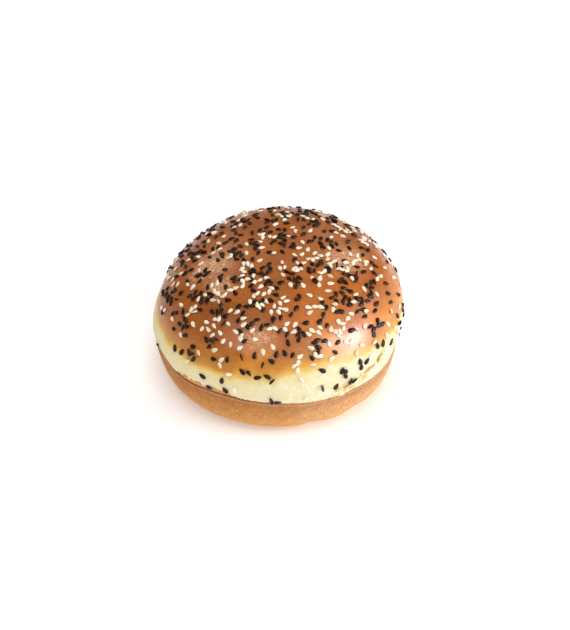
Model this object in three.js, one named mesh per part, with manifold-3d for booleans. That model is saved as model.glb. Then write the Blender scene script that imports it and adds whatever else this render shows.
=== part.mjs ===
// Sesame burger bun, a bread roll baked in a shallow round tin: a tan tin crust below, a pale belt where the
// dough rose over the tin's edge, a glazed crown above, and sesame seeds stuck to the crown and belt.
// One solid in millimetres, +Z up, origin at the middle of the flat underside, front towards -Y.
import * as THREE from "three";
import { mergeVertices } from "three/addons/utils/BufferGeometryUtils.js";
import { ConvexGeometry } from "three/addons/geometries/ConvexGeometry.js";
import Module from "manifold-3d";

// ---- Driving dimensions ----
const rollHeight = 62.5;
const beltRadius = 55.6; // the widest place
const beltHeight = 26;
const rimRadius = 55.4; // top edge of the tin crust
const rimHeight = 21.7;
const footRadius = 45.4; // flat underside
const seamDepth = 0.8; // groove between the tin crust and the pale belt
const seamGap = 2.6; // height of that groove
const crownPower = 2.65; // 2 would be an ellipse, more is squarer in the shoulder
// How far the top leans sideways and back; the bow makes the lean start sooner above the belt.
const crownLean = { x: 7.2, y: 0.8, bow: 0.4 };

const seedLength = 3.2;
const seedWidth = 2.0;
const seedRise = 0.8; // height of a seed above the crust
const seedSink = 0.3; // depth of a seed's widest outline below the crust
const seedTaper = 0.28; // how much its blunt end is wider and its tip narrower than its middle
const seedRidge = { back: -0.25, front: 0.08 }; // where the ridge starts and ends, as shares of the length
const seedSizes = { least: 0.9, most: 1.1 };
const seedGap = 3.8; // no two seeds lie nearer than this
const seedTries = 770; // places drawn over the crown, of which some are refused
const seedReach = { low: 0.02, high: 0.985 }; // stretch of the crown's outline that bears seeds
const seedThinning = { low: 0.06, high: 0.36, kept: 0.22 }; // fewer are kept below, towards the belt

// Waves round the roll, for waveAt: `count` of them, `size` a share of the radius or a height in mm.
const swellWaves = [
  { count: 2, size: 0.026, phase: 1.97 },
  { count: 3, size: 0.015, phase: 3.14 },
];
const rippleWaves = [
  { count: 7, size: 0.005, phase: 0.27 },
  { count: 11, size: 0.003, phase: 3.85 },
];
const rimWaves = [
  { count: 2, size: 0.7, phase: -1.4 },
  { count: 3, size: 0.4, phase: 1.7 },
  { count: 5, size: 0.6, phase: -1.05 },
];
const rimReach = { below: 17, above: 12 }; // how far from the rim those waves die away

// Shallow dents at the heel's foot, by azimuth and height of their middles.
const dents = [
  { azimuth: 0.34, height: 2, reach: 5, depth: 1.3 },
  { azimuth: 0.73, height: 3, reach: 4, depth: 1 },
  { azimuth: 3.6, height: 4, reach: 6, depth: 1.2 },
];

// Slow swells of the crown, dying away inside the free radius.
const bumps = { height: 0.35, around: 3, upward: 2, twist: 9, freeRadius: 20 };

// ---- Mesh fineness ----
const aroundSteps = 54;
const heelSteps = 6;
const seamSteps = 4;
const beltSteps = 2;
const crownSteps = 14;
const seedCorners = 7;

// ---- Colours ----
const crustBrown = 0x9c4f1c;

const turn = 2 * Math.PI;

// A repeatable number from 0 to 1 for item `index`, one of many for each item by `channel`.
function draw(index, channel) {
  const wave = Math.sin(index * 12.9898 + channel * 78.233) * 43758.5453;
  return wave - Math.floor(wave);
}

function smooth(edge0, edge1, value) {
  return THREE.MathUtils.smoothstep(value, edge0, edge1);
}

function waveAt(waves, azimuth) {
  return waves.reduce((sum, { count, size, phase }) => sum + size * Math.cos(count * azimuth - phase), 0);
}

// ---- Outline: radius and height along the half section, each for a share from 0 to 1 ----

// From the flat underside round the heel and up the tin crust to its rim.
function heelAt(share) {
  const angle = (share * Math.PI) / 2;
  return new THREE.Vector2(
    footRadius + (rimRadius - footRadius) * Math.sin(angle),
    rimHeight * (1 - Math.cos(angle)),
  );
}

// The groove above the rim, where the soft belt hangs over the tin crust.
function seamAt(share) {
  const radius = THREE.MathUtils.lerp(rimRadius, beltRadius, share);
  return new THREE.Vector2(
    radius - seamDepth * Math.sin(share * Math.PI),
    rimHeight + seamGap * share,
  );
}

// The short upright belt.
function beltAt(share) {
  return new THREE.Vector2(
    beltRadius,
    THREE.MathUtils.lerp(rimHeight + seamGap, beltHeight, share),
  );
}

// The domed crown, a quarter of a superellipse.
function crownAt(share) {
  const angle = (share * Math.PI) / 2;
  return new THREE.Vector2(
    beltRadius * Math.cos(angle) ** (2 / crownPower),
    beltHeight + (rollHeight - beltHeight) * Math.sin(angle) ** (2 / crownPower),
  );
}

// Points of one stretch of the outline at even shares, from the one after its start up to its end.
function stretch(curve, steps) {
  return Array.from({ length: steps }, (_, i) => curve((i + 1) / steps));
}

function outlinePoints() {
  return [
    new THREE.Vector2(0, 0),
    heelAt(0),
    ...stretch(heelAt, heelSteps),
    ...stretch(seamAt, seamSteps),
    ...stretch(beltAt, beltSteps),
    ...stretch(crownAt, crownSteps).slice(0, -1),
    new THREE.Vector2(0, rollHeight),
  ];
}

// ---- Unevenness: moves a point of the turned shape to where it lies on the real roll ----

// How far the dents push a point in towards the middle.
function dentAt(azimuth, radius, height) {
  return dents.reduce((sum, dent) => {
    const along = radius * Math.sin((azimuth - dent.azimuth) / 2) * 2;
    const away = Math.hypot(along, height - dent.height) / dent.reach;
    return sum + dent.depth * Math.exp(-away * away);
  }, 0);
}

function uneven(point) {
  const radius = Math.hypot(point.x, point.y);
  const azimuth = Math.atan2(point.x, -point.y); // 0 at the front, growing towards +X
  const height = point.z;
  const lift = Math.max(0, (height - beltHeight) / (rollHeight - beltHeight));
  const lean = lift * (1 + crownLean.bow * (1 - lift));
  const nearRim =
    smooth(rimHeight - rimReach.below, rimHeight, height) *
    (1 - smooth(rimHeight + seamGap, rimHeight + rimReach.above, height));
  const bump =
    bumps.height *
    Math.sin(bumps.around * azimuth + bumps.twist * lift) *
    Math.sin(bumps.upward * turn * lift) *
    Math.min(1, radius / bumps.freeRadius);
  const swell = 1 + waveAt(swellWaves, azimuth) + nearRim * waveAt(rippleWaves, azimuth);
  const inward = radius > 0 ? dentAt(azimuth, radius, height) / radius : 0;
  return new THREE.Vector3(
    point.x * (swell - inward) + crownLean.x * lean,
    point.y * (swell - inward) + crownLean.y * lean,
    height + nearRim * waveAt(rimWaves, azimuth) + bump,
  );
}

// ---- The bare roll ----

function rollGeometry() {
  const turned = new THREE.LatheGeometry(outlinePoints(), aroundSteps).rotateX(Math.PI / 2);
  const place = turned.getAttribute("position");
  const point = new THREE.Vector3();
  for (let i = 0; i < place.count; i++) {
    point.fromBufferAttribute(place, i);
    place.setXYZ(i, ...uneven(point));
  }
  return turned;
}

// ---- Seeds ----

// A drop-shaped lens, pointed at +X: an outline sunk in the crust, a short ridge above it and a keel below.
function seedGeometry(size) {
  const length = seedLength * size;
  const width = seedWidth * size;
  const points = [];
  for (let i = 0; i < seedCorners; i++) {
    const angle = (i / seedCorners) * turn;
    const taper = 1 - seedTaper * Math.cos(angle);
    points.push(
      new THREE.Vector3((length / 2) * Math.cos(angle), (width / 2) * Math.sin(angle) * taper, -seedSink),
    );
  }
  for (const along of [seedRidge.back, seedRidge.front]) {
    points.push(new THREE.Vector3(along * length, 0, seedRise * size));
    points.push(new THREE.Vector3(along * length, 0, -2 * seedSink));
  }
  return new ConvexGeometry(points);
}

// Shares along the crown's outline with the surface area below each, so that spots can be drawn evenly.
function areaTable() {
  const samples = 400;
  const rows = [{ share: 0, area: 0 }];
  let last = crownAt(0);
  for (let i = 1; i <= samples; i++) {
    const share = i / samples;
    const next = crownAt(share);
    rows.push({ share, area: rows.at(-1).area + ((last.x + next.x) / 2) * last.distanceTo(next) });
    last = next;
  }
  return rows;
}

const crownArea = areaTable();

function crownShareAt(areaShare) {
  const wanted = areaShare * crownArea.at(-1).area;
  return crownArea.find((row) => row.area >= wanted).share;
}

function surfacePoint(share, azimuth) {
  const { x: radius, y: height } = crownAt(share);
  return uneven(new THREE.Vector3(radius * Math.sin(azimuth), -radius * Math.cos(azimuth), height));
}

// The place and turn of a seed lying on the crust.
function seedPlacement({ share, azimuth, heading }) {
  const step = 0.01;
  const alongCrust = surfacePoint(share + step, azimuth).sub(surfacePoint(share - step, azimuth));
  const around = surfacePoint(share, azimuth + step).sub(surfacePoint(share, azimuth - step)).normalize();
  const outward = new THREE.Vector3().crossVectors(around, alongCrust).normalize();
  const upward = new THREE.Vector3().crossVectors(outward, around);
  const forward = around.multiplyScalar(Math.cos(heading)).addScaledVector(upward, Math.sin(heading));
  const sideways = new THREE.Vector3().crossVectors(outward, forward);
  return new THREE.Matrix4().makeBasis(forward, sideways, outward).setPosition(surfacePoint(share, azimuth));
}

// Spots drawn over the crown by area, thinned out towards the belt, none too near another.
function seedSpots() {
  const spots = [];
  for (let i = 0; i < seedTries; i++) {
    const share = THREE.MathUtils.clamp(crownShareAt(draw(i, 1)), seedReach.low, seedReach.high);
    const azimuth = turn * draw(i, 2);
    const keep = THREE.MathUtils.lerp(
      seedThinning.kept,
      1,
      smooth(seedThinning.low, seedThinning.high, share),
    );
    const place = surfacePoint(share, azimuth);
    const crowded = spots.some((spot) => spot.place.distanceTo(place) < seedGap);
    if (draw(i, 3) > keep || crowded) continue;
    const heading = turn * draw(i, 4);
    const size = THREE.MathUtils.lerp(seedSizes.least, seedSizes.most, draw(i, 5));
    spots.push({ share, azimuth, place, heading, size });
  }
  return spots;
}

// ---- Joining ----

const wasm = await Module();
wasm.setup();

function solidFrom(geometry) {
  geometry.deleteAttribute("normal");
  geometry.deleteAttribute("uv");
  const merged = mergeVertices(geometry, 1e-4);
  const corners = merged.index.array;
  const faces = [];
  for (let i = 0; i < corners.length; i += 3) {
    const face = [corners[i], corners[i + 1], corners[i + 2]];
    if (new Set(face).size === 3) faces.push(...face);
  }
  const vertProperties = merged.getAttribute("position").array;
  return new wasm.Manifold(
    new wasm.Mesh({ numProp: 3, vertProperties, triVerts: new Uint32Array(faces) }),
  );
}

function geometryFrom(solid) {
  const { vertProperties, triVerts } = solid.getMesh();
  const geometry = new THREE.BufferGeometry();
  geometry.setAttribute("position", new THREE.BufferAttribute(vertProperties, 3));
  geometry.setIndex(new THREE.BufferAttribute(triVerts, 1));
  geometry.computeVertexNormals();
  return geometry;
}

// The roll with its seeds, set so that the bare roll's box is centred on the origin.
function breadRoll() {
  const bare = rollGeometry();
  bare.computeBoundingBox();
  const middle = bare.boundingBox.getCenter(new THREE.Vector3());
  const seeded = seedSpots().reduce(
    (solid, spot) => solid.add(solidFrom(seedGeometry(spot.size).applyMatrix4(seedPlacement(spot)))),
    solidFrom(bare),
  );
  const mesh = new THREE.Mesh(
    geometryFrom(seeded).translate(-middle.x, -middle.y, 0),
    new THREE.MeshStandardMaterial({ color: crustBrown, roughness: 0.45, metalness: 0 }),
  );
  mesh.name = "bread_roll";
  return mesh;
}

const model = new THREE.Group();
model.add(breadRoll());

export default model;
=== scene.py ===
import math

import bpy
import numpy as np
from mathutils import Matrix, Vector, noise


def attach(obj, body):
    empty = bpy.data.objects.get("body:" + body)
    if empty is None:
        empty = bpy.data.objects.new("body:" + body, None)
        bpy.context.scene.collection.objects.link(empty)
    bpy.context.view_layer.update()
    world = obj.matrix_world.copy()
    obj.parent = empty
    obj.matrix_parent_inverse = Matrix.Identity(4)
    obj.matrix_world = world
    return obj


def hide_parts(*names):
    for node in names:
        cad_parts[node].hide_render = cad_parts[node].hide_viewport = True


# a seeded burger bun: one baked piece of dough, with white and black sesame seeds stuck to it
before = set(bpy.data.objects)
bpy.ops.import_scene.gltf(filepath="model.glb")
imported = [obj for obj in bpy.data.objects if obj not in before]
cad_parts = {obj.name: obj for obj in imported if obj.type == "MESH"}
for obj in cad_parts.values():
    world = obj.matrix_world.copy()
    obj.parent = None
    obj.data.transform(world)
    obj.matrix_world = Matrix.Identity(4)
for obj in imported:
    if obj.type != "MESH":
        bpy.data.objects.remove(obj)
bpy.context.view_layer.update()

mm = 0.001
turn = 2 * math.pi

# the roll's form in millimetres, the same as its solid's
roll = {
    "height": 62.5,
    "beltRadius": 55.6,  # the widest place
    "beltHeight": 26.0,
    "rimRadius": 55.4,  # top edge of the tin crust
    "rimHeight": 21.7,
    "footRadius": 45.4,
    "seamDepth": 0.8,
    "seamGap": 2.6,
    "crownPower": 2.65,
    "leanRight": 7.2,
    "leanBack": 0.8,
    "leanBow": 0.4,
    "swellWaves": [(2, 0.026, 1.97), (3, 0.015, 3.14)],  # how many round the roll, size, phase
    "rippleWaves": [(7, 0.005, 0.27), (11, 0.003, 3.85)],
    "rimWaves": [(2, 0.7, -1.4), (3, 0.4, 1.7), (5, 0.6, -1.05)],
    "rimReachBelow": 17,
    "rimReachAbove": 12,
    "dents": [(0.34, 2, 5, 1.3), (0.73, 3, 4, 1.0), (3.6, 4, 6, 1.2)],  # azimuth, height, reach, depth
    "bumpHeight": 0.35,
    "bumpsAround": 3,
    "bumpTwist": 9,  # in radians, from the belt to the top
    "bumpsUp": 4,  # half waves from the belt to the top
    "bumpFreeRadius": 20,
}

# one channel of draw for each thing that is drawn
channels = {
    "reach": 1,  # how far up the crown, or how far from a clump's middle
    "angle": 2,
    "kept": 3,
    "heading": 4,
    "size": 5,
    "colour": 6,
    "tilt": 21,
    "onEdge": 22,
    "edgeTilt": 23,
    "nose": 24,
    "width": 25,
    "bend": 26,
    "tint": 27,
}
drawSteps = (12.9898, 78.233, 43758.5453)  # uneven, so that draws side by side differ


# a repeatable number from 0 to 1 for one thing
def draw(index, channel):
    ofIndex, ofChannel, spread = drawSteps
    wave = math.sin(index * ofIndex + channels[channel] * ofChannel) * spread
    return wave - math.floor(wave)


# a repeatable factor close to 1
def vary(index, channel, spread):
    return 1 - spread / 2 + spread * draw(index, channel)


def smooth(low, high, value):
    share = np.clip((value - low) / (high - low), 0, 1)
    return share * share * (3 - 2 * share)


def waveSum(waves, azimuth):
    return sum(size * np.cos(count * azimuth - phase) for count, size, phase in waves)


def heelAt(share):
    angle = share * math.pi / 2
    radius = roll["footRadius"] + (roll["rimRadius"] - roll["footRadius"]) * np.sin(angle)
    return radius, roll["rimHeight"] * (1 - np.cos(angle))


def seamAt(share):
    radius = roll["rimRadius"] + (roll["beltRadius"] - roll["rimRadius"]) * share
    return radius - roll["seamDepth"] * np.sin(share * math.pi), roll["rimHeight"] + roll["seamGap"] * share


def crownAt(share):
    angle = share * math.pi / 2
    radius = roll["beltRadius"] * np.clip(np.cos(angle), 0, 1) ** (2 / roll["crownPower"])
    rise = np.sin(angle) ** (2 / roll["crownPower"])
    return radius, roll["beltHeight"] + (roll["height"] - roll["beltHeight"]) * rise


# moves points of the turned form to where they lie on the real, uneven roll
def uneven(radius, height, azimuth):
    lift = np.maximum(0, (height - roll["beltHeight"]) / (roll["height"] - roll["beltHeight"]))
    lean = lift * (1 + roll["leanBow"] * (1 - lift))
    rim = roll["rimHeight"]
    nearRim = smooth(rim - roll["rimReachBelow"], rim, height) * (
        1 - smooth(rim + roll["seamGap"], rim + roll["rimReachAbove"], height)
    )
    inward = 0
    for middle, level, reach, depth in roll["dents"]:
        along = radius * np.sin((azimuth - middle) / 2) * 2
        inward = inward + depth * np.exp(-(along**2 + (height - level) ** 2) / reach**2)
    bumps = np.sin(roll["bumpsAround"] * azimuth + roll["bumpTwist"] * lift)
    bumps = bumps * np.sin(roll["bumpsUp"] * math.pi * lift)
    swell = 1 + waveSum(roll["swellWaves"], azimuth) + nearRim * waveSum(roll["rippleWaves"], azimuth)
    spread = radius * swell - inward * np.minimum(1, radius)
    return np.stack(
        [
            spread * np.sin(azimuth) + roll["leanRight"] * lean,
            -spread * np.cos(azimuth) + roll["leanBack"] * lean,
            height
            + nearRim * waveSum(roll["rimWaves"], azimuth)
            + roll["bumpHeight"] * bumps * np.minimum(1, radius / roll["bumpFreeRadius"]),
        ],
        -1,
    )


# a noise field over points in millimetres, from -1 to 1; the offset keeps two fields apart
def noiseOver(points, size, offset=0.0):
    scaled = points.reshape(-1, 3) / size + offset
    values = [noise.noise(Vector(p)) for p in scaled.tolist()]
    return np.array(values).reshape(points.shape[:-1])


# points at even lengths along a line of radius and height
def evenRows(radius, height, rows):
    steps = np.hypot(np.diff(radius), np.diff(height))
    length = np.concatenate([[0], np.cumsum(steps)])
    wanted = np.linspace(0, length[-1], rows + 1)[1:]
    return np.stack([np.interp(wanted, length, radius), np.interp(wanted, length, height)], 1)


crust = {
    "around": 512,
    "footRows": 20,
    "heelRows": 34,
    "seamRows": 14,
    "crownRows": 130,
    "outlineSteps": 600,  # how finely the outline is measured before it is cut into rows
    # heights between which a form comes in or ends: the belt's and crown's over the seam, the
    # underside's over the foot
    "beltStarts": (-0.4, 0.6),
    "beltEnds": (8, 22),
    "crownStarts": (6, 16),
    "underEnds": (0, 3),
    "poleHeights": (-20, 30),  # what the bottom and the top point count as, over the seam
    "lumpSize": 14,  # slow lumps all over, and their height
    "lumpHeight": 0.28,
    "lumpsBelowCrown": 0.4,  # the share of that height that is left below the crown
    "doughSize": 3.4,  # small dimples of the pale belt
    "doughHeight": 0.16,
    "grainSize": 1.5,
    "grainHeight": 0.06,
    "grainOffBelt": 0.25,
    "hollowSize": 6.0,  # of the underside
    "hollowDepth": 0.2,
    "skinEdge": -1.2,  # lower edge of the belt's pale skin, against the top of the seam
    "ragSizes": [(5.0, 0.4), (1.7, 1.3)],  # rags of that edge: length, height
    "ragShares": (0.4, 0.8),  # how much of them shows everywhere, and how much more where it is torn
    "tornPlaces": [(-0.62, 0.33, 2.3), (2.3, 0.2, 1.7), (-2.2, 0.16, 1.4)],  # azimuth, half width, height
    "tornCore": 0.6,  # the share of the half width that is torn to the full height
    "lipHeight": 0.4,  # how far the torn skin stands out
    "lipReach": 2.0,
    "lipStarts": (-0.3, 0.2),
    "lipOnRight": 0.3,  # the share of its height that is left on the right
    "leftSpread": 28,  # how far from the middle the left side's looks have come in fully: its own lip, groove and gloss, and the painted shade on that side
    "seamFill": 0.6,  # how much of the groove is closed on the left, and more on the right
    "seamFillReach": 0.9,
    # the glaze: the height of its golden edge, how far below that it has faded to nothing, and how far
    # above that it is full brown, each with its waves round the roll
    "glazeEdge": 40.4,
    "glazeEdgeWaves": [(1, 3.9, 1.2), (2, 1.3, 1.5), (3, 1.1, 1.0), (4, 0.5, 0), (5, 0.6, 2.0)],
    "glazeBelow": 11.8,
    "glazeBelowWaves": [(1, 1.5, -0.1), (2, 1.4, 0.1), (3, 1.0, 0.5)],
    "glazeAbove": 14.6,
    "glazeAboveWaves": [(1, 6.3, 0.7), (2, 2.7, 1.4), (3, 0.9, -1.2)],
    "glazeSag": (-100, 16, 2.4),  # where its edge hangs lower: azimuth and reach in degrees, depth
    # patches of glaze with fine wrinkle folds, painted with a sheen and with highlights along the folds:
    # azimuth in degrees, share up the crown's outline, reach, strength
    "sheenWrinkles": [
        (-85, 0.66, 6.5, 1.9), (-80, 0.56, 4, 1.2), (-60, 0.63, 4.5, 1.7), (84, 0.77, 6, 1.7),
        (-16, 0.41, 6, 0.8), (150, 0.5, 7, 1.5), (-150, 0.42, 6, 1.5),
    ],
}

# a crease in the belt where the dough tore as it rose: from and to azimuth, height at both ends
tear = {
    "fromAzimuth": 0.44,
    "toAzimuth": 1.0,
    "fromHeight": 26.4,
    "toHeight": 38.4,
    "bend": 2.0,
    "wiggle": 1.3,
    "wiggleSize": 3.1,
    "comesIn": (-0.02, 0.1),  # shares of its length
    "runsOut": (0.75, 1.05),
    "depth": 1.0,
    "halfWidth": 1.1,  # at the widest opening
    "openings": [(0.585, 0.032), (0.752, 0.045), (0.86, 0.02)],  # azimuth and half width
    "openBetween": 0.36,  # how far it stands open between them
    "wall": (-0.1, 0.8),  # how its wall falls from the edge to the bottom
    "ridgeHeight": 0.6,  # the puffed ridges of crumb below and above it
    "ridgeBelow": 2.5,
    "ridgeBelowReach": 2.2,
    "ridgeAbove": 1.4,
    "ridgeAboveReach": 0.9,
    "ridgeAboveShare": 0.5,  # of the lower ridge's height
    "puffSize": 2.1,
    "puffShares": (0.7, 2.0),  # the even part of a ridge, and the part that swings with its puffs
    "valleyShade": (0.15, -0.25),  # the puff noise between which a hollow comes in, painted with shade
}


# a ring round the belt, as a line to lay a noise along
def beltRing(azimuth):
    return np.stack([np.cos(azimuth), np.sin(azimuth), 0 * azimuth], -1) * roll["beltRadius"]


# where the pale skin of the belt ends at each azimuth, in millimetres over the top of the seam
def skinEdge(azimuth):
    ring = beltRing(azimuth)
    rags = sum(height * noiseOver(ring, size, size) for size, height in crust["ragSizes"])
    torn = 0
    for middle, half, height in crust["tornPlaces"]:
        away = np.abs(np.sin((azimuth - middle) / 2) * 2)
        torn = torn + height * (1 - smooth(half * crust["tornCore"], half, away))
    everywhere, whereTorn = crust["ragShares"]
    return crust["skinEdge"] + rags * (everywhere + whereTorn * np.minimum(torn, 1)) + torn


# how far a place lies over the crease's line, and how much of the crease is there
def tearFields(azimuth, height):
    share = (azimuth - tear["fromAzimuth"]) / (tear["toAzimuth"] - tear["fromAzimuth"])
    line = tear["fromHeight"] + (tear["toHeight"] - tear["fromHeight"]) * np.clip(share, 0, 1) ** tear["bend"]
    ends = smooth(*tear["comesIn"], share) * (1 - smooth(*tear["runsOut"], share))
    opening = sum(np.exp(-(((azimuth - middle) / half) ** 2)) for middle, half in tear["openings"])
    wiggle = tear["wiggle"] * noiseOver(beltRing(azimuth), tear["wiggleSize"], offset=2.0)
    return height - line + wiggle, ends, ends * (tear["openBetween"] + np.minimum(opening, 1))


def crustProfile():
    share = np.linspace(0, 1, crust["outlineSteps"])
    foot = evenRows(np.array([0, roll["footRadius"]]), np.array([0, 0.0]), crust["footRows"])
    heel = evenRows(*heelAt(share), crust["heelRows"])
    seam = evenRows(*seamAt(share), crust["seamRows"])
    crown = evenRows(
        np.concatenate([[roll["beltRadius"]], crownAt(share)[0]]),
        np.concatenate([[roll["rimHeight"] + roll["seamGap"]], crownAt(share)[1]]),
        crust["crownRows"],
    )
    return np.concatenate([foot, heel, seam, crown[:-1]])


def meshFrom(name, points, faces, fields):
    mesh = bpy.data.meshes.new(name)
    mesh.from_pydata(points.tolist(), [], faces)
    for attribute, values in fields.items():
        mesh.attributes.new(attribute, "FLOAT", "POINT").data.foreach_set("value", values.astype(np.float32))
    mesh.polygons.foreach_set("use_smooth", [True] * len(mesh.polygons))
    mesh.update()
    piece = bpy.data.objects.new(name, mesh)
    bpy.context.scene.collection.objects.link(piece)
    return piece


# the faces of a closed turned mesh: a pole, rings of points, a pole
def turnedFaces(rings, around):
    column = np.arange(around)
    beside = (column + 1) % around
    last = rings * around + 1
    faces = [(0, 1 + b, 1 + a) for a, b in zip(column.tolist(), beside.tolist())]
    for ring in range(rings - 1):
        low = 1 + ring * around
        high = low + around
        faces += np.stack([low + column, low + beside, high + beside, high + column], 1).tolist()
    top = 1 + (rings - 1) * around
    faces += [(top + a, top + b, last) for a, b in zip(column.tolist(), beside.tolist())]
    return faces


# lumps, dimples and grain of the dough, the torn lip and the filled groove
def doughRelief(still, overSeam, overSkinEdge, leftward):
    onBelt = smooth(*crust["beltStarts"], overSeam) * (1 - smooth(*crust["beltEnds"], overSeam))
    onCrown = smooth(*crust["crownStarts"], overSeam)
    low = crust["lumpsBelowCrown"]
    relief = crust["lumpHeight"] * noiseOver(still, crust["lumpSize"]) * (low + (1 - low) * onCrown)
    relief += onBelt * crust["doughHeight"] * noiseOver(still, crust["doughSize"], offset=7.0)
    low = crust["grainOffBelt"]
    grain = noiseOver(still, crust["grainSize"], offset=3.0)
    relief += (low + (1 - low) * onBelt) * crust["grainHeight"] * grain
    lip = np.exp(-((np.maximum(overSkinEdge, 0) / crust["lipReach"]) ** 2))
    lip = lip * smooth(*crust["lipStarts"], overSkinEdge)
    low = crust["lipOnRight"]
    relief += crust["lipHeight"] * lip * (low + (1 - low) * leftward)
    closed = crust["seamFill"] + (1 - crust["seamFill"]) * (1 - leftward)
    inSeam = np.exp(-(((overSeam + roll["seamGap"] / 2) / crust["seamFillReach"]) ** 2))
    return relief + roll["seamDepth"] * closed * inSeam


# the crease and its puffed ridges, and the mask of the hollows between the puffs, which are painted with
# shade
def tearRelief(still, side, ends, opening):
    puffs = noiseOver(still, tear["puffSize"], offset=5.0)
    crease = smooth(*tear["wall"], opening - np.abs(side) / tear["halfWidth"])
    below = np.exp(-(((side + tear["ridgeBelow"]) / tear["ridgeBelowReach"]) ** 2))
    above = np.exp(-(((side - tear["ridgeAbove"]) / tear["ridgeAboveReach"]) ** 2))
    even, swinging = tear["puffShares"]
    ridge = tear["ridgeHeight"] * (below + tear["ridgeAboveShare"] * above) * (even + swinging * puffs)
    valleyShade = ends * np.minimum(below + above, 1) * smooth(*tear["valleyShade"], puffs)
    return ends * ridge - tear["depth"] * crease, valleyShade


# 0 where the glaze has faded to nothing, a half at its golden edge, 1 where it is full brown
def glazeShare(azimuth, height):
    edge, below, above = (
        crust[name] + waveSum(crust[name + "Waves"], azimuth)
        for name in ("glazeEdge", "glazeBelow", "glazeAbove")
    )
    turned, reach, depth = crust["glazeSag"]
    fromSag = (1 - np.cos(azimuth - math.radians(turned))) / math.radians(reach) ** 2
    fromEdge = height - edge + depth * np.exp(-fromSag)
    return 0.5 + 0.5 * np.where(fromEdge < 0, fromEdge / below, fromEdge / above)


def sheenWrinkleShare(points):
    wrinkledSheen = 0
    for turned, share, reach, strength in crust["sheenWrinkles"]:
        place = uneven(*crownAt(np.float64(share)), math.radians(turned))
        away = np.linalg.norm(points - place, axis=-1) / reach
        wrinkledSheen = wrinkledSheen + strength * np.exp(-away * away)
    return np.minimum(wrinkledSheen, 1)


def makeCrust():
    profile = crustProfile()
    radius, height = profile[:, :1], profile[:, 1:]
    slope = np.gradient(profile, axis=0)
    outward = np.stack([slope[:, 1], -slope[:, 0]], 1)
    outward /= np.linalg.norm(outward, axis=1, keepdims=True)
    azimuth = np.linspace(-math.pi, math.pi, crust["around"], endpoint=False)[None, :]
    still = np.stack([radius * np.sin(azimuth), -radius * np.cos(azimuth), height + 0 * azimuth], -1)

    overSeam = height + 0 * azimuth - roll["rimHeight"] - roll["seamGap"]
    overSkinEdge = overSeam - skinEdge(azimuth[0])[None, :]
    leftward = smooth(crust["leftSpread"], -crust["leftSpread"], radius * np.sin(azimuth))
    tearSide, tearEnds, tearOpen = tearFields(azimuth, height)
    torn, valleyShade = tearRelief(still, tearSide, tearEnds, tearOpen)
    relief = doughRelief(still, overSeam, overSkinEdge, leftward) + torn
    offUnder = smooth(*crust["underEnds"], height) + 0 * azimuth
    hollows = np.abs(noiseOver(still, crust["hollowSize"], offset=11.0))
    relief = relief * offUnder - crust["hollowDepth"] * (1 - offUnder) * hollows
    points = uneven(radius + relief * outward[:, :1], height + relief * outward[:, 1:], azimuth)
    points[..., 2] = np.maximum(points[..., 2], 0)

    low, high = points.reshape(-1, 3).min(0), points.reshape(-1, 3).max(0)
    middle = np.array([(low[0] + high[0]) / 2, (low[1] + high[1]) / 2, 0])
    bottom = np.array([[0.0, 0.0, 0.0]])
    top = uneven(np.array([0.0]), np.array([roll["height"]]), np.array([0.0]))
    everyPoint = np.concatenate([bottom, points.reshape(-1, 3), top]) - middle

    atBottom, atTop = crust["poleHeights"]
    spread = {  # each with its values at the bottom and at the top
        "glaze": (glazeShare(azimuth, height), 0, 1),
        "overSeam": (overSeam, atBottom, atTop),
        "overSkinEdge": (overSkinEdge, atBottom, atTop),
        "leftward": (leftward, 0.5, 0.5),
        "tearSide": (tearSide / tear["halfWidth"], atBottom, atTop),
        "tearOpen": (tearOpen, 0, 0),
        "puffValley": (valleyShade, 0, 0),
        "wrinkledSheen": (sheenWrinkleShare(points), 0, 0),
    }
    fields = {}
    for name, (values, first, last) in spread.items():
        rings = np.broadcast_to(values, overSeam.shape)
        fields[name] = np.concatenate([[first], rings.ravel(), [last]])
    piece = meshFrom("crust", everyPoint * mm, turnedFaces(len(profile), crust["around"]), fields)
    return piece, middle


crustPiece, rollMiddle = makeCrust()
print("crust made:", len(crustPiece.data.polygons), "faces")

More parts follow.
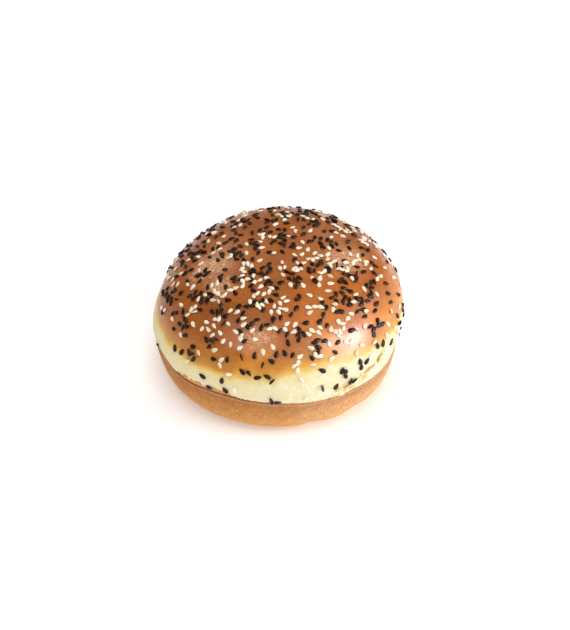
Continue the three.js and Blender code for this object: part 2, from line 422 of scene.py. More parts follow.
# sesame seeds: sizes in millimetres, and how they are strewn
sesame = {
    "length": 3.15,
    "width": 1.85,
    "widthSpread": 0.2,
    "thickness": 1.0,
    "point": 0.85,  # how pointed the thin end is
    "flatPoint": 0.6,  # how much of that its thickness follows
    "bluntness": 0.75,  # of both ends, seen from the side
    "squareness": (0.85, 0.9),  # of its cross-section, sideways and upwards
    "bend": 0.05,
    "rings": 9,
    "sides": 10,
    "sink": 0.12,  # how far a seed's middle lies under its highest resting place
    "gap": 3.8,  # the evenly strewn ones, at the places where the solid has them
    "tries": 770,
    "reach": (0.02, 0.985),  # stretch of the crown's outline that bears seeds
    "thinning": (0.06, 0.36, 0.22),  # from and to share, and how many are kept below
    "sizeSpread": 0.2,
    "bareShare": 0.14,  # below this share up the outline the front stays free for the lone seeds
    "bareMiddle": -0.25,  # the azimuth of that stretch, and its end as a cosine
    "bareReach": 0.3,
    "clumpReach": 1.35,
    "clumpMargin": 0.6,
    "clumpGap": 1.5,
    "clumpFirst": 2000,  # the first draw of the first clump, and how many each one has
    "clumpTries": 60,
    "extraFirst": 1000,  # the rest, drawn anywhere but mostly on top
    "extraTries": 900,
    "extraThinning": (0.25, 0.75, 0.22),
    "extraBareShare": 0.16,
    "extraGap": 1.8,
    "extraOnLeft": 0.3,
    "extraSizeSpread": 0.24,
    "crowding": 2.1,  # an evenly strewn seed nearer than this to a clump's is left out
    "touching": 2.4,  # seeds nearer than this lean on each other
    "climb": 0.75,  # how far one rises on another, in thicknesses, and how far it leans, in radians
    "climbLean": 0.75,
    "tiltSpread": 0.16,
    "noseSpread": 0.2,
    "onEdgeShare": 0.07,
    "edgeTilt": (0.9, 0.4),  # least, and how much more at most
    "edgeRise": 0.3,
    "blackShare": 0.57,
    "blackSwing": 0.1,  # more black ones on the left than on the right
    "blackSize": 1.04,
    "whiteSize": 0.97,
    "loneSize": 1.14,
}

# lone black seeds on the front of the pale belt: azimuth in degrees, height, heading in degrees
loneSeeds = [
    (-71, 24, 80), (-57, 34, 110), (-52, 35, 70), (-48, 37, 120), (-46, 37.5, 40), (-44, 36, 75),
    (-37, 30, 160), (-32, 25.5, 10), (-27, 31.5, 80), (-24, 26.5, 130), (-19, 38.5, 140), (-11, 37, 15),
    (-7, 38, 150), (-4, 36, 50), (-2, 25, 110), (1, 24, 5), (18, 39.5, 150), (20, 30.5, 100),
    (27, 29, 60), (28, 37, 70), (29.5, 36.5, 120), (30, 34, 110), (34, 29.5, 65), (36, 29, 60),
    (37, 38, 95), (38, 35, 90), (41, 36.5, 50), (47, 41, 100), (51, 40, 60), (58, 36, 55),
]

# the white ones there, in the same way
loneWhites = [
    (-24.5, 35.7, 20), (-20, 28, 100), (9, 36.4, 110), (13.5, 26, 60), (22.5, 44, 30), (54, 42.2, 100),
    (-47, 33, 40), (66, 33, 120),
]

# clumps on the crown: azimuth in degrees, share up the crown's outline, black seeds, white seeds
clumps = [
    (42.5, 0.65, 9, 0), (47.5, 0.34, 5, 0), (-62.5, 0.51, 10, 2), (-94, 0.76, 6, 2), (-100, 0.55, 5, 1),
    (-153.5, 0.94, 7, 1), (-49, 0.87, 7, 0), (108.5, 0.85, 5, 1), (60, 0.86, 5, 5), (-51, 0.77, 4, 5),
    (164.5, 0.63, 6, 0), (144, 0.65, 5, 0), (-139.5, 0.67, 6, 3), (-149, 0.84, 4, 0), (-80.5, 0.58, 4, 1),
    (-44, 0.52, 5, 1), (7.5, 0.47, 4, 1), (30.5, 0.6, 3, 2), (-112, 0.87, 4, 0), (40, 0.9, 4, 0),
    (59, 0.71, 5, 1), (50.5, 0.53, 3, 1), (16.5, 0.38, 5, 0), (-39, 0.29, 4, 1), (-32, 0.56, 4, 1),
    (-58.5, 0.28, 5, 0), (28, 0.47, 0, 7), (-28, 0.67, 2, 6), (-179, 0.74, 4, 5), (-131.5, 0.88, 0, 4),
    (67, 0.8, 2, 5), (-8, 0.64, 0, 5), (-25, 0.44, 2, 5), (-54, 0.59, 0, 4), (17, 0.92, 0, 4),
    (112.5, 0.57, 0, 5), (-28, 0.8, 2, 4), (14, 0.28, 1, 3), (5.5, 0.28, 1, 3), (-30, 0.18, 0, 2),
    (130, 0.69, 1, 4), (-60.5, 0.41, 0, 3), (-0.5, 0.52, 1, 4), (66, 0.92, 0, 4), (-63.5, 0.83, 0, 4),
]
nudge = 0.01  # a small step up or round the crown, to find which way it runs


def surfacePoint(share, azimuth):
    return uneven(*crownAt(share), azimuth) - rollMiddle


# shares along the crown's outline against the surface area below them
def areaTable(samples=400):
    shares = np.arange(samples + 1) / samples
    radius, height = crownAt(shares)
    bands = (radius[1:] + radius[:-1]) / 2 * np.hypot(np.diff(radius), np.diff(height))
    return shares, np.concatenate([[0], np.cumsum(bands)])


def crownShareAt(table, areaShare):
    shares, area = table
    found = shares[np.searchsorted(area, areaShare * area[-1])]
    return min(max(float(found), sesame["reach"][0]), sesame["reach"][1])


def nearest(place, among):
    return min((np.linalg.norm(spot["place"] - place) for spot in among), default=math.inf)


def isBlack(index, azimuth):
    return draw(index, "colour") < sesame["blackShare"] - sesame["blackSwing"] * math.sin(azimuth)


def keptShare(share, thinning):
    low, high, kept = sesame[thinning]
    return kept + (1 - kept) * smooth(low, high, share)


def drawnSpot(place, index, spread, black):
    size = vary(index, "size", sesame[spread])
    return {"place": place, "heading": turn * draw(index, "heading"), "size": size, "black": black}


def strewLone(spots):
    radii, heights = crownAt(areaTable()[0])
    for number, (azimuth, height, heading) in enumerate(loneSeeds + loneWhites):
        radius = np.interp(height, heights, radii)
        place = uneven(radius, np.float64(height), math.radians(azimuth)) - rollMiddle
        black = number < len(loneSeeds)
        heading = math.radians(heading)
        spots.append({"place": place, "heading": heading, "size": sesame["loneSize"], "black": black})


def strewClumps(spots):
    first = sesame["clumpFirst"]
    for azimuth, share, blacks, whites in clumps:
        turned = math.radians(azimuth)
        middle = surfacePoint(share, turned)
        upward = surfacePoint(share + nudge, turned) - middle
        around = surfacePoint(share, turned + nudge) - middle
        upward /= np.linalg.norm(upward)
        around /= np.linalg.norm(around)
        left = blacks + whites
        reach = sesame["clumpReach"] * math.sqrt(left) + sesame["clumpMargin"]
        for i in range(first, first + sesame["clumpTries"]):
            away = reach * math.sqrt(draw(i, "reach"))
            angle = turn * draw(i, "angle")
            place = middle + away * (math.cos(angle) * around + math.sin(angle) * upward)
            if left > 0 and nearest(place, spots) >= sesame["clumpGap"]:
                spots.append(drawnSpot(place, i, "sizeSpread", left > whites))
                left -= 1
        first += sesame["clumpTries"]


# by the solid's own rule, so that these lie where the solid has seeds; only those that a clump crowds
# out or that would lie among the lone seeds are left out
def strewEvenly(spots):
    table = areaTable()
    placed = list(spots)
    for i in range(sesame["tries"]):
        share = crownShareAt(table, draw(i, "reach"))
        azimuth = turn * draw(i, "angle")
        place = surfacePoint(share, azimuth)
        inFront = math.cos(azimuth - sesame["bareMiddle"]) > sesame["bareReach"]
        bare = share < sesame["bareShare"] and inFront
        crowded = nearest(place, placed) < sesame["crowding"]
        if draw(i, "kept") > keptShare(share, "thinning") or bare or crowded:
            continue
        if nearest(place, spots[len(placed) :]) >= sesame["gap"]:
            spots.append(drawnSpot(place, i, "sizeSpread", isBlack(i, azimuth)))


def strewExtras(spots):
    table = areaTable()
    first = sesame["extraFirst"]
    for i in range(first, first + sesame["extraTries"]):
        share = crownShareAt(table, draw(i, "reach"))
        azimuth = turn * draw(i, "angle")
        place = surfacePoint(share, azimuth)
        leftward = max(0, -math.sin(azimuth)) * sesame["extraOnLeft"]
        kept = draw(i, "kept") < keptShare(share + leftward, "extraThinning")
        if kept and share > sesame["extraBareShare"] and nearest(place, spots) >= sesame["extraGap"]:
            spots.append(drawnSpot(place, i, "extraSizeSpread", isBlack(i, azimuth)))


# a wave that is drawn out towards a square one
def squarer(wave, power):
    return np.sign(wave) * np.abs(wave) ** power


# one seed of length, width and thickness 1, pointed towards +X, as rings between two poles
def seedForm():
    angles = np.linspace(math.pi, 0, sesame["rings"] + 2)[1:-1, None]
    sides = np.linspace(0, turn, sesame["sides"], endpoint=False)[None, :]
    width = np.sin(angles) * np.sin(angles / 2) ** sesame["point"]
    width /= width.max()
    depth = np.sin(angles) ** sesame["bluntness"]
    depth = depth * np.sin(angles / 2) ** (sesame["point"] * sesame["flatPoint"])
    across = squarer(np.cos(sides), sesame["squareness"][0])
    up = squarer(np.sin(sides), sesame["squareness"][1])
    rings = np.stack([np.cos(angles) + 0 * sides, width * across, depth * up], -1) / 2
    points = np.concatenate([[[-0.5, 0, 0]], rings.reshape(-1, 3), [[0.5, 0, 0]]])
    return points, turnedFaces(sesame["rings"], sesame["sides"])


# the place and turn of a seed that lies on the crust, or leans on the seeds strewn before it
def seedMatrix(spot, before, index):
    there = Vector(spot["place"]) * mm
    _, place, outward, _ = crustPiece.closest_point_on_mesh(there)
    around = Vector((0, 0, 1)).cross(outward).normalized()
    forward = around * math.cos(spot["heading"]) + outward.cross(around) * math.sin(spot["heading"])
    sideways = outward.cross(forward)
    rise = 0.5 * sesame["thickness"] - sesame["sink"]
    lean = Matrix.Identity(3)
    for other in before:
        offset = Vector(spot["place"] - other["place"])
        near = 1 - offset.length / sesame["touching"]
        if near > 0:
            rise += sesame["climb"] * sesame["thickness"] * near
            axis = outward.cross(offset).normalized()
            lean = Matrix.Rotation(sesame["climbLean"] * near, 3, axis) @ lean
    tilt = sesame["tiltSpread"] * (draw(index, "tilt") - 0.5)
    if draw(index, "onEdge") < sesame["onEdgeShare"]:
        least, more = sesame["edgeTilt"]
        tilt = least + more * draw(index, "edgeTilt")
        rise += sesame["edgeRise"]
    lean = lean @ Matrix.Rotation(tilt, 3, forward)
    nose = Matrix.Rotation(sesame["noseSpread"] * (draw(index, "nose") - 0.5), 3, sideways)
    turned = nose @ lean @ Matrix((forward, sideways, outward)).transposed()
    return turned, place + outward * rise * mm


def makeSeeds(name, spots, black):
    form, faces = seedForm()
    points, allFaces, tints, along = [], [], [], []
    for index, spot in enumerate(spots):
        if spot["black"] != black:
            continue
        turned, place = seedMatrix(spot, spots[:index], index)
        width = sesame["width"] * vary(index, "width", sesame["widthSpread"])
        size = np.array([sesame["length"], width, sesame["thickness"]])
        shaped = form * size * spot["size"] * sesame["blackSize" if black else "whiteSize"]
        shaped[:, 2] += sesame["bend"] * (form[:, 0] * 2) ** 2 * (draw(index, "bend") - 0.5)
        start = len(points) * len(form)
        points.append(shaped * mm @ np.array(turned).T + np.array(place))
        allFaces += [tuple(start + corner for corner in face) for face in faces]
        tints.append(np.full(len(form), draw(index, "tint")))
        along.append(form[:, 0] + 0.5)
    fields = {"seedTint": np.concatenate(tints), "seedAlong": np.concatenate(along)}
    return meshFrom(name, np.concatenate(points), allFaces, fields)


seedSpots = []
for strew in (strewLone, strewClumps, strewEvenly, strewExtras):
    strew(seedSpots)
whiteSeeds = makeSeeds("whiteSeeds", seedSpots, False)
blackSeeds = makeSeeds("blackSeeds", seedSpots, True)
print("seeds strewn:", len(seedSpots), "of which black:", sum(spot["black"] for spot in seedSpots))


# a colour from its red, green and blue on screen, 0 to 255, along the usual curve of a screen
def tone(red, green, blue):
    screen = [c / 255 for c in (red, green, blue)]
    return tuple(c / 12.92 if c <= 0.04045 else ((c + 0.055) / 1.055) ** 2.4 for c in screen) + (1.0,)


def addNode(tree, kind, values=None, **settings):
    made = tree.nodes.new(kind)
    for name, value in settings.items():
        setattr(made, name, value)
    for name, value in (values or {}).items():
        made.inputs[name].default_value = value
    return made


# fills a node's inputs, each by its number and either a socket or a fixed value
def fillInputs(tree, made, inputs):
    for number, value in inputs:
        if isinstance(value, bpy.types.NodeSocket):
            tree.links.new(value, made.inputs[number])
        else:
            made.inputs[number].default_value = value


def mixColours(tree, factor, first, second):
    made = addNode(tree, "ShaderNodeMix", data_type="RGBA", blend_type="MIX")
    fillInputs(tree, made, ((0, factor), (6, first), (7, second)))  # 6 and 7 are its colours
    return made.outputs[2]


def calculate(tree, operation, *values):
    made = addNode(tree, "ShaderNodeMath", operation=operation)
    fillInputs(tree, made, enumerate(values))
    return made.outputs[0]


def product(tree, first, second):
    return calculate(tree, "MULTIPLY", first, second)


def inverse(tree, value):
    return calculate(tree, "SUBTRACT", 1.0, value)


# a colour that is stained with another where a mask is, as strongly as wanted
def stained(tree, colour, mask, stain, strength):
    return mixColours(tree, product(tree, mask, strength), colour, stain)


# a value that a noise moves up and down, so that what is cut from it has a frayed edge
def movedBy(tree, value, grain, reach):
    return calculate(tree, "MULTIPLY_ADD", calculate(tree, "SUBTRACT", grain, 0.5), reach, value)


# turns a value's stretch from low to high into 0 to 1, smoothly
def stretchOf(tree, value, low, high):
    ends = {"From Min": low, "From Max": high}
    made = addNode(tree, "ShaderNodeMapRange", ends, interpolation_type="SMOOTHSTEP")
    tree.links.new(value, made.inputs["Value"])
    return made.outputs["Result"]


# a thin line where a value has one level, fading from its inner to its outer half width
def lineAt(tree, value, level, inner, outer):
    away = calculate(tree, "ABSOLUTE", calculate(tree, "SUBTRACT", value, level))
    return inverse(tree, stretchOf(tree, away, inner, outer))


def colourRamp(tree, value, stops):
    made = addNode(tree, "ShaderNodeValToRGB")
    while len(made.color_ramp.elements) < len(stops):
        made.color_ramp.elements.new(0.5)
    for element, (position, colour) in zip(made.color_ramp.elements, stops):
        element.position = position
        element.color = colour
    tree.links.new(value, made.inputs[0])
    return made.outputs[0]


def field(tree, name):
    return addNode(tree, "ShaderNodeAttribute", attribute_name=name).outputs["Fac"]


def addBump(tree, shader, height, depth, strength):
    bump = addNode(tree, "ShaderNodeBump", {"Distance": depth * mm, "Strength": strength})
    tree.links.new(height, bump.inputs["Height"])
    tree.links.new(bump.outputs["Normal"], shader.inputs["Normal"])


# patches of a noise of one size over the piece, for mottling, pores and grain
def makePatchesGroup():
    group = bpy.data.node_groups.new("patches", "ShaderNodeTree")
    for name in ("Size", "Detail", "Warp", "Low", "High"):
        group.interface.new_socket(name, in_out="INPUT", socket_type="NodeSocketFloat")
    group.interface.new_socket("Mask", in_out="OUTPUT", socket_type="NodeSocketFloat")
    start = group.nodes.new("NodeGroupInput")
    end = group.nodes.new("NodeGroupOutput")
    place = addNode(group, "ShaderNodeTexCoord")
    grain = addNode(group, "ShaderNodeTexNoise")
    scale = addNode(group, "ShaderNodeMath", operation="DIVIDE")
    scale.inputs[0].default_value = 1 / mm
    reach = addNode(group, "ShaderNodeMapRange", interpolation_type="SMOOTHSTEP")
    for source, target in (
        (start.outputs["Size"], scale.inputs[1]),
        (scale.outputs[0], grain.inputs["Scale"]),
        (start.outputs["Detail"], grain.inputs["Detail"]),
        (start.outputs["Warp"], grain.inputs["Distortion"]),
        (place.outputs["Object"], grain.inputs["Vector"]),
        (grain.outputs["Fac"], reach.inputs["Value"]),
        (start.outputs["Low"], reach.inputs["From Min"]),
        (start.outputs["High"], reach.inputs["From Max"]),
        (reach.outputs["Result"], end.inputs["Mask"]),
    ):
        group.links.new(source, target)
    return group


patchesGroup = makePatchesGroup()


# size in millimetres, detail and warp of the noise, and the values of it that become 0 and 1
def patches(tree, size, detail, warp, low, high):
    made = addNode(tree, "ShaderNodeGroup", node_tree=patchesGroup)
    for name, value in (("Size", size), ("Detail", detail), ("Warp", warp), ("Low", low), ("High", high)):
        made.inputs[name].default_value = value
    return made.outputs["Mask"]


def newMaterial(name):
    made = bpy.data.materials.new(name)
    made.use_nodes = True
    tree = made.node_tree
    return made, tree, tree.nodes["Principled BSDF"]


deepBrown = tone(118, 56, 18)
lightBrown = tone(202, 118, 36)
poreBrown = tone(160, 90, 40)
rimBrown = tone(138, 70, 30)

crustLook = {
    "glaze": [  # from the pale belt up to the top of the crown
        (0.17, tone(246, 231, 182)),
        (0.29, tone(244, 222, 154)),
        (0.35, tone(240, 196, 94)),
        (0.425, tone(236, 167, 46)),
        (0.5, tone(229, 147, 20)),
        (0.64, tone(217, 127, 7)),
        (0.8, tone(187, 98, 5)),
        (0.97, tone(168, 88, 6)),
    ],
    # mottling of the glaze: its patches, colour, strength
    "glazeMarks": [
        ((16, 4, 0.6, 0.42, 0.68), deepBrown, 0.45),
        ((7, 4, 1.0, 0.55, 0.8), lightBrown, 0.25),
        ((0.8, 2, 0, 0.54, 0.72), lightBrown, 0.3),
        ((1.1, 3, 0.3, 0.54, 0.72), deepBrown, 0.3),
        # light specks: partly the crust's own grain, partly painted glints of the glaze
        ((0.5, 1, 0, 0.6, 0.72), tone(232, 172, 104), 0.3),
    ],
    "tin": [(0.0, tone(204, 137, 62)), (0.5, tone(217, 152, 72)), (1.0, tone(231, 168, 86))],
    "strip": tone(216, 154, 86),
    "pale": tone(253, 246, 218),
    # painted shade in the hollows between the crease's puffs
    "valleyShade": tone(216, 188, 96),
    "crease": tone(216, 184, 110),
    # the inside of the tear, darker than its edge as painted shade
    "tear": tone(170, 116, 44),
    # stains and painted light and shade, each with its colour and strength
    # painted shade on the left over the glaze's golden middle
    "paintedGlazeShade": (tone(132, 84, 34), 0.32),
    # painted sheen over the wrinkle patches, and painted highlights along their folds
    "paintedSheen": (tone(206, 140, 84), 0.75),
    "paintedFoldHighlight": (tone(242, 200, 162), 0.9),
    "pit": (tone(222, 184, 116), 0.4),
    # painted shade on the left of the tin crust
    "baked": (tone(180, 104, 28), 0.45),
    # painted light on the right of the tin crust
    "tinPaintedLight": (tone(246, 206, 166), 0.24),
    "tinPore": (poreBrown, 0.52),
    "tinPale": (tone(248, 222, 184), 0.7),
    "tinLow": (tone(246, 186, 104), 0.33),
    "tinHigh": (rimBrown, 0.4),
    "stripPore": (poreBrown, 0.3),
    "rimPaintedHighlight": (tone(226, 168, 122), 0.45),
    # painted shade of the groove over the tin crust
    "paintedRimShade": (rimBrown, 0.85),
    # patches
    "wander": (9, 3, 0.4, 0.2, 0.8),
    "folds": (3.2, 1.5, 1.2, 0.25, 0.75),
    "pits": (1.6, 3, 0.5, 0.62, 0.78),
    "bloom": (2.4, 4, 0.8, 0.42, 0.68),
    "tearFray": (0.9, 2, 0, 0.25, 0.75),
    "tinMottle": (3.5, 4, 0.2, 0.25, 0.75),
    "pores": (0.7, 2, 0, 0.48, 0.64),
    "flecks": (0.9, 1, 0, 0.7, 0.75),
    "seamFray": (0.8, 3, 0, 0.25, 0.75),
    "grain": (0.55, 3, 0, 0.2, 0.8),
    # how far those move an edge
    "wanderReach": 0.09,  # in shares of the glaze
    "tearFrayReach": 0.7,  # in half widths of the crease
    "seamFrayReach": 0.5,  # in millimetres, as the next
    "skinFrayReach": 1.7,
    # stretches from none to all: of the glaze's share, of leftward, then of heights over the seam
    "glazed": (0.3, 0.6),
    "onBelt": (0.36, 0.22),
    "shiny": (0.2, 0.44),
    "paintedGlazeShadeFrom": (0.34, 0.48),
    "paintedGlazeShadeTo": (0.95, 0.7),
    "paintedGlazeShadeLeft": (0.93, 1.0),
    "tinPaintedLightFrom": (0.5, 0.0),
    "paintedRimShadeLeft": (0.1, 0.9),
    "tinPaintedLightOver": (-24, -18),
    "tinLowUnder": (-8, -20),
    "tinHighOver": (-10, -3),
    "stripOver": (-1.9, -1.6),
    "skinOver": (-0.15, 0.15),  # over the edge of the pale skin
    "creaseOver": (-0.1, 0.2),  # how far inside the tear
    "tearOver": (0.25, 0.7),
    "foldWidth": (0.02, 0.2),  # how far the noise of the folds swings from its middle
    "rimPaintedHighlightLine": (-3.0, 0.2, 0.7),  # height over the seam, inner and outer half width
    "paintedRimShadeLine": (-1.95, 0.2, 0.6),
    "bloomAndPaintedLight": (0.9, 0.75),  # on the right, and how much less on the left: the pale bloom is the belt's own, its greater strength on the right is painted light
    "coats": (0.6, 0.3),
    "wrinkleDulling": 0.5,
    "roughness": (0.75, 0.4),  # of the bare dough and of the glaze
    "grainShare": 0.2,  # against the folds, in the bump
    "bumpDepth": 0.3,
    "bumpStrength": 0.7,
    "shader": {  # what is the same all over
        "Coat Roughness": 0.3,
        "Specular IOR Level": 0.38,
        "Subsurface Weight": 0.06,
        "Subsurface Scale": 0.004,
        "Subsurface Radius": (1.0, 0.5, 0.25),
    },
}


# a strength that falls from the right to the left
def fallingLeft(tree, leftward, onRight, lessOnLeft):
    return calculate(tree, "SUBTRACT", onRight, product(tree, leftward, lessOnLeft))


def glazeColour(tree, glaze, onGlaze, leftward):
    look = crustLook
    colour = colourRamp(tree, glaze, look["glaze"])
    # painted shade: the glaze's golden middle darkened on the left, away from the key light
    paintedGlazeShade = stretchOf(tree, glaze, *look["paintedGlazeShadeFrom"])
    paintedGlazeShade = product(tree, paintedGlazeShade, stretchOf(tree, glaze, *look["paintedGlazeShadeTo"]))
    paintedGlazeShade = product(tree, paintedGlazeShade, stretchOf(tree, leftward, *look["paintedGlazeShadeLeft"]))
    colour = stained(tree, colour, paintedGlazeShade, *look["paintedGlazeShade"])
    for grain, stain, strength in look["glazeMarks"]:
        mark = product(tree, patches(tree, *grain), onGlaze)
        colour = stained(tree, colour, mark, stain, strength)
    return colour


# the lines of the folds in the sheen patches, for their bump and for the painted highlights along them
def foldLines(tree, wrinkledSheen):
    swing = calculate(tree, "SUBTRACT", patches(tree, *crustLook["folds"]), 0.5)
    between = stretchOf(tree, calculate(tree, "ABSOLUTE", swing), *crustLook["foldWidth"])
    return product(tree, inverse(tree, between), wrinkledSheen)


# pits and pale bloom on the belt, the bloom stronger on the right as painted light, and painted shade in the
# hollows between its puffs
def beltColour(tree, colour, glaze, onGlaze, leftward):
    look = crustLook
    pits = product(tree, patches(tree, *look["pits"]), inverse(tree, onGlaze))
    colour = stained(tree, colour, pits, *look["pit"])
    bloom = product(tree, patches(tree, *look["bloom"]), stretchOf(tree, glaze, *look["onBelt"]))
    strength = fallingLeft(tree, leftward, *look["bloomAndPaintedLight"])
    colour = stained(tree, colour, bloom, look["pale"], strength)
    # painted shade in the hollows between the puffs
    return mixColours(tree, field(tree, "puffValley"), colour, look["valleyShade"])


def tearColour(tree, colour):
    look = crustLook
    side = movedBy(tree, field(tree, "tearSide"), patches(tree, *look["tearFray"]), look["tearFrayReach"])
    inside = calculate(tree, "SUBTRACT", field(tree, "tearOpen"), calculate(tree, "ABSOLUTE", side))
    # darker deeper in the opening, as painted shade
    torn = mixColours(tree, stretchOf(tree, inside, *look["tearOver"]), look["crease"], look["tear"])
    return mixColours(tree, stretchOf(tree, inside, *look["creaseOver"]), colour, torn)


def tinColour(tree, seam, leftward):
    look = crustLook
    colour = colourRamp(tree, patches(tree, *look["tinMottle"]), look["tin"])
    # painted shade: the tin crust darker on the left, away from the key light
    colour = stained(tree, colour, leftward, *look["baked"])
    # painted light: the tin crust paler on the right, where the key light falls, fading out near the foot
    offFoot = stretchOf(tree, field(tree, "overSeam"), *look["tinPaintedLightOver"])
    paintedLightShare = product(tree, stretchOf(tree, leftward, *look["tinPaintedLightFrom"]), offFoot)
    colour = stained(tree, colour, paintedLightShare, *look["tinPaintedLight"])
    pores = patches(tree, *look["pores"])
    colour = stained(tree, colour, pores, *look["tinPore"])
    colour = stained(tree, colour, patches(tree, *look["flecks"]), *look["tinPale"])
    colour = stained(tree, colour, stretchOf(tree, seam, *look["tinLowUnder"]), *look["tinLow"])
    colour = stained(tree, colour, stretchOf(tree, seam, *look["tinHighOver"]), *look["tinHigh"])
    strip = stained(tree, look["strip"], pores, *look["stripPore"])
    colour = mixColours(tree, stretchOf(tree, seam, *look["stripOver"]), colour, strip)
    # a painted highlight along the lip of the tin crust, below the groove
    line = lineAt(tree, seam, *look["rimPaintedHighlightLine"])
    colour = stained(tree, colour, line, *look["rimPaintedHighlight"])
    # painted shade of the filled groove, stronger on the left, away from the key light
    line = lineAt(tree, seam, *look["paintedRimShadeLine"])
    line = product(tree, line, stretchOf(tree, leftward, *look["paintedRimShadeLeft"]))
    return stained(tree, colour, line, *look["paintedRimShade"])


def crustMaterial():
    look = crustLook
    material, tree, shader = newMaterial("crust")
    leftward = field(tree, "leftward")
    glaze = movedBy(tree, field(tree, "glaze"), patches(tree, *look["wander"]), look["wanderReach"])
    onGlaze = stretchOf(tree, glaze, *look["glazed"])
    wrinkledSheen = product(tree, field(tree, "wrinkledSheen"), onGlaze)
    folds = foldLines(tree, wrinkledSheen)
    colour = glazeColour(tree, glaze, onGlaze, leftward)
    # painted sheen over the wrinkle patches, and painted highlights along their folds
    colour = stained(tree, colour, wrinkledSheen, *look["paintedSheen"])
    colour = stained(tree, colour, folds, *look["paintedFoldHighlight"])
    colour = beltColour(tree, colour, glaze, onGlaze, leftward)
    colour = tearColour(tree, colour)

    fray = patches(tree, *look["seamFray"])
    seam = movedBy(tree, field(tree, "overSeam"), fray, look["seamFrayReach"])
    skin = movedBy(tree, field(tree, "overSkinEdge"), fray, look["skinFrayReach"])
    onSkin = stretchOf(tree, skin, *look["skinOver"])
    colour = mixColours(tree, onSkin, tinColour(tree, seam, leftward), colour)
    tree.links.new(colour, shader.inputs["Base Color"])

    shine = product(tree, stretchOf(tree, glaze, *look["shiny"]), onSkin)
    shine = product(tree, shine, inverse(tree, product(tree, wrinkledSheen, look["wrinkleDulling"])))
    ofDough, ofGlaze = look["roughness"]
    rough = addNode(tree, "ShaderNodeMapRange", {"To Min": ofDough, "To Max": ofGlaze})
    tree.links.new(shine, rough.inputs["Value"])
    tree.links.new(rough.outputs["Result"], shader.inputs["Roughness"])
    coat = product(tree, shine, fallingLeft(tree, leftward, *look["coats"]))
    tree.links.new(coat, shader.inputs["Coat Weight"])
    for name, value in look["shader"].items():
        shader.inputs[name].default_value = value

    relief = calculate(tree, "MULTIPLY_ADD", patches(tree, *look["grain"]), look["grainShare"], folds)
    addBump(tree, shader, relief, look["bumpDepth"], look["bumpStrength"])
    return material


# what both kinds of seeds have
seedLook = {
    "freckles": (0.6, 3, 0, 0.5, 0.75),
    "freckleStrength": 0.4,
    "tipOver": (0.8, 1.0),  # share of a seed's length
    "tipStrength": 0.6,
    "grain": (0.35, 2, 0, 0.25, 0.75),
    "bumpDepth": 0.06,
    "bumpStrength": 0.6,
}

whiteLook = {
    "tints": [(0.0, tone(243, 222, 186)), (0.5, tone(250, 236, 208)), (1.0, tone(254, 247, 230))],
    "tip": tone(214, 172, 120),
    "freckle": tone(214, 176, 122),
    "shader": {"Roughness": 0.5, "Specular IOR Level": 0.35},
}

blackLook = {
    "tints": [(0.0, tone(30, 14, 4)), (0.6, tone(42, 21, 8)), (1.0, tone(62, 38, 22))],
    "tip": tone(66, 40, 22),
    "freckle": tone(64, 44, 32),
    "shader": {"Roughness": 0.33, "Specular IOR Level": 0.2},
}


def seedMaterial(name, look):
    material, tree, shader = newMaterial(name)
    colour = colourRamp(tree, field(tree, "seedTint"), look["tints"])
    freckles = patches(tree, *seedLook["freckles"])
    colour = stained(tree, colour, freckles, look["freckle"], seedLook["freckleStrength"])
    tip = stretchOf(tree, field(tree, "seedAlong"), *seedLook["tipOver"])
    colour = stained(tree, colour, tip, look["tip"], seedLook["tipStrength"])
    tree.links.new(colour, shader.inputs["Base Color"])
    for socket, value in look["shader"].items():
        shader.inputs[socket].default_value = value
    grain = patches(tree, *seedLook["grain"])
    addBump(tree, shader, grain, seedLook["bumpDepth"], seedLook["bumpStrength"])
    return material


crustPiece.data.materials.append(crustMaterial())
whiteSeeds.data.materials.append(seedMaterial("whiteSesame", whiteLook))
blackSeeds.data.materials.append(seedMaterial("blackSesame", blackLook))
for piece, slot in ((crustPiece, "crust"), (whiteSeeds, "white_sesame"), (blackSeeds, "black_sesame")):
    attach(piece, "root")
    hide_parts("bread_roll")
print("materials made")

studio = {
    "floorSize": 4.0,
    "floor": tone(250, 250, 250),
    "floorMottle": (30, 2, 0, 0.3, 0.7),
    "floorStain": (tone(235, 235, 235), 0.02),
    "floorShader": {"Roughness": 0.8, "Emission Strength": 0.22},
    "world": 0.15,
    "white": (1.0, 1.0, 1.0),
    "cool": (0.87, 0.84, 1.0),
    # name, azimuth and elevation of where it stands in degrees, distance, width, height, watts,
    # colour, and whether it lights the surfaces or is only mirrored in them
    "lights": [
        ("keyLight", 82, 25, 1.5, 0.7, 0.7, 11.0, "white", "surfaces"),
        ("topFill", 0, 82, 1.8, 1.2, 1.2, 17.9, "white", "surfaces"),
        ("frontFill", 4, 24, 1.8, 1.0, 1.0, 6.1, "white", "surfaces"),
        ("leftFill", -95, 20, 1.8, 0.9, 0.9, 2.3, "white", "surfaces"),
        ("backFill", 175, 50, 1.8, 0.9, 0.9, 5.0, "white", "surfaces"),
        ("keyGlint", 54, 20, 1.5, 0.5, 1.0, 36.0, "cool", "mirrored"),
        ("haloGlint", 55, 35, 1.5, 0.9, 0.9, 19.0, "cool", "mirrored"),
        ("lowGlint", 54, -6, 1.5, 1.2, 0.7, 16.0, "cool", "mirrored"),
        ("sideGlint", 102, 2, 1.5, 1.0, 1.0, 4.0, "cool", "mirrored"),
        ("highGlint", 88, 38, 1.5, 0.8, 0.4, 3.0, "cool", "mirrored"),
        ("frontGlint", -40, 44, 1.8, 0.5, 0.5, 7.0, "white", "mirrored"),
        ("softGlint", 18, 34, 1.8, 0.7, 0.7, 2.0, "white", "mirrored"),
        ("leftGlint", -152, 34, 1.8, 0.5, 0.5, 3.0, "white", "mirrored"),
        ("rightGlint", 160, 35, 1.8, 0.5, 0.5, 1.5, "white", "mirrored"),
    ],
}


# the direction from the roll towards something that stands round it, from degrees
def towards(azimuth, elevation):
    a = math.radians(azimuth)
    e = math.radians(elevation)
    return Vector((math.sin(a) * math.cos(e), -math.cos(a) * math.cos(e), math.sin(e)))


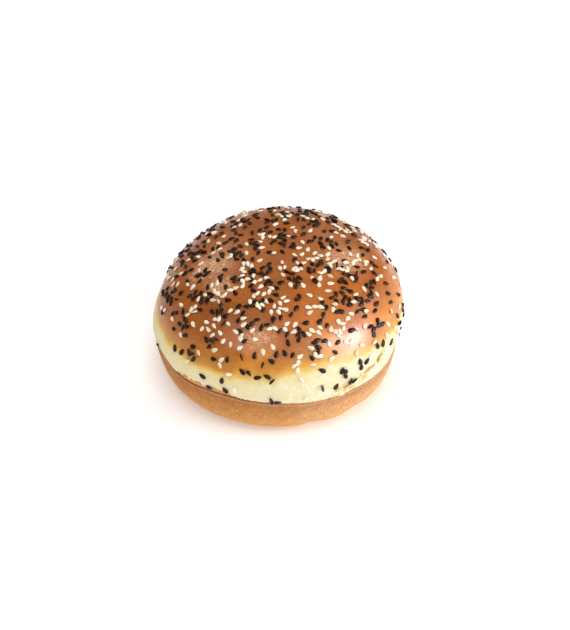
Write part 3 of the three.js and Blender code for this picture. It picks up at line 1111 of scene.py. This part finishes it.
def makeFloor():
    half = studio["floorSize"] / 2
    corners = np.array([(-half, -half, 0), (half, -half, 0), (half, half, 0), (-half, half, 0)])
    floor = meshFrom("floor", corners, [(0, 1, 2, 3)], {})
    material, tree, shader = newMaterial("floorPaper")
    mottle = patches(tree, *studio["floorMottle"])
    colour = stained(tree, studio["floor"], mottle, *studio["floorStain"])
    tree.links.new(colour, shader.inputs["Base Color"])
    for socket, value in studio["floorShader"].items():
        shader.inputs[socket].default_value = value
    floor.data.materials.append(material)


def makeLights():
    scene = bpy.context.scene
    world = bpy.data.worlds.new("studio")
    world.use_nodes = True
    background = world.node_tree.nodes["Background"]
    background.inputs["Color"].default_value = (1, 1, 1, 1)
    background.inputs["Strength"].default_value = studio["world"]
    scene.world = world
    middle = Vector((0, 0, roll["height"] / 2 * mm))
    for name, azimuth, elevation, distance, width, height, power, colour, effect in studio["lights"]:
        back = towards(azimuth, elevation)
        light = bpy.data.lights.new(name, "AREA")
        light.shape = "RECTANGLE"
        light.size = width
        light.size_y = height
        light.energy = power
        light.color = studio[colour]
        lamp = bpy.data.objects.new(name, light)
        lamp.location = middle + back * distance
        lamp.rotation_euler = (-back).to_track_quat("-Z", "Y").to_euler()
        lamp.visible_glossy = effect == "mirrored"
        lamp.visible_diffuse = effect == "surfaces"
        scene.collection.objects.link(lamp)
    scene.view_settings.view_transform = "Standard"


# the camera looks down on the roll from the front
camera = {
    "elevation": 42.6,
    "distance": 0.6,
    "lens": 74.3,
    "aimHeight": 28,  # the height it is turned to, in millimetres
    "aimRight": 4.6,  # how far it is moved sideways and up, so that the roll lies in the frame as wanted
    "aimUp": -2.0,
    "roll": -0.0143,
    "clipStart": 0.01,
}


def makeCamera():
    back = towards(0, camera["elevation"])
    up = towards(180, 90 - camera["elevation"])
    aim = Vector((-rollMiddle[0], -rollMiddle[1], camera["aimHeight"])) * mm
    aim += Vector((camera["aimRight"], 0, 0)) * mm + up * camera["aimUp"] * mm
    made = bpy.data.cameras.new("camera")
    made.lens = camera["lens"]
    made.clip_start = camera["clipStart"]
    holder = bpy.data.objects.new("camera", made)
    holder.location = aim + back * camera["distance"]
    turned = (-back).to_track_quat("-Z", "Y").to_matrix() @ Matrix.Rotation(camera["roll"], 3, "Z")
    holder.rotation_euler = turned.to_euler()
    bpy.context.scene.collection.objects.link(holder)
    bpy.context.scene.camera = holder


makeFloor()
makeLights()
makeCamera()
print("studio and camera set")
